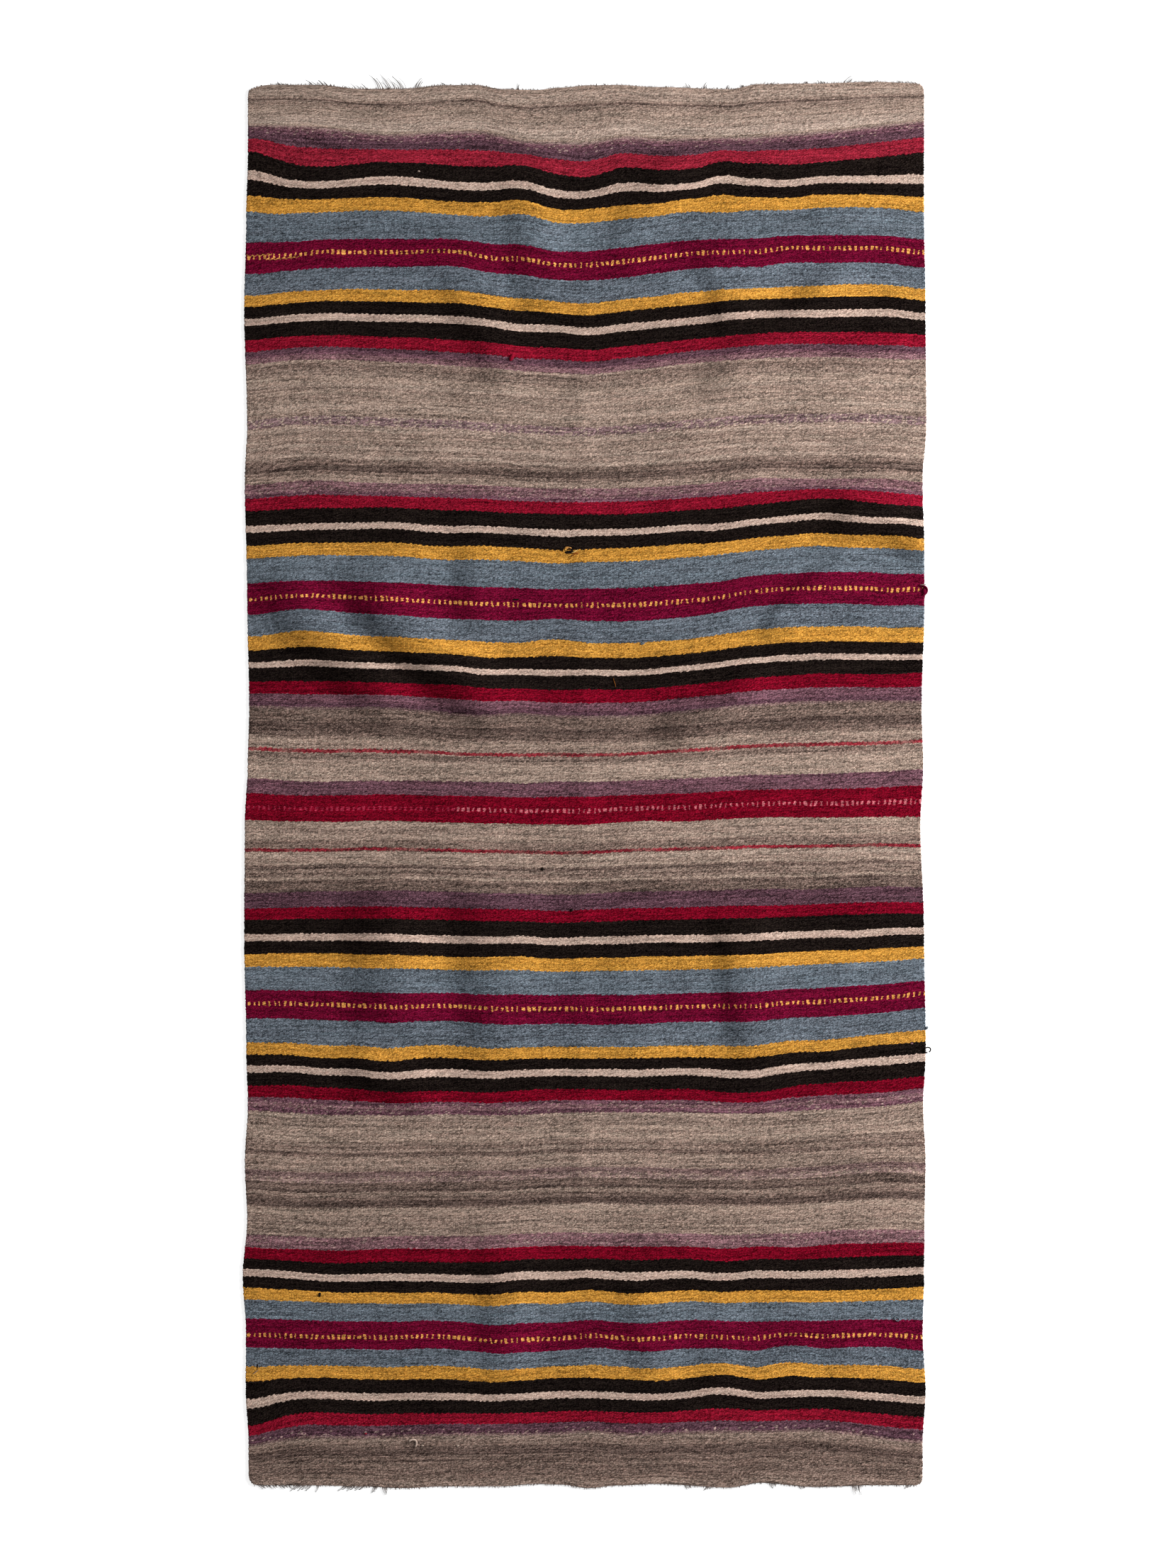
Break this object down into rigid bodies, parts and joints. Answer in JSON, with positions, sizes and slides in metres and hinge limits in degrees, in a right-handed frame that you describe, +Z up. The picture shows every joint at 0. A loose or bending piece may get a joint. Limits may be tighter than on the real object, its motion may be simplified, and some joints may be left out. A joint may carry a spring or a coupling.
{
  "type": "woven blanket",
  "caption": "One-piece striped flatweave blanket lying flat, with low ripples, wavy selvedges and worn warp ends.",
  "frame": {"origin": "middle of the underside's box, on the surface that the blanket lies on", "axes": "+X across the blanket along the weft, +Y along the warp to the back end, +Z up out of the face"},
  "size_m": [1.1559, 2.4067, 0.0195],
  "materials": {
    "striped_wool": "matte handspun wool, weft-faced, in cross stripes of greige, purple, red, black, white, yellow, blue and claret",
    "pale_warp_ends": "matte greige wool with grey warp ends",
    "dark_warp_ends": "matte brown-grey wool with grey warp ends"
  },
  "bodies": {
    "root": {"cloth": "striped_wool", "end_back": "pale_warp_ends", "end_front": "dark_warp_ends"}
  },
  "joints": []
}
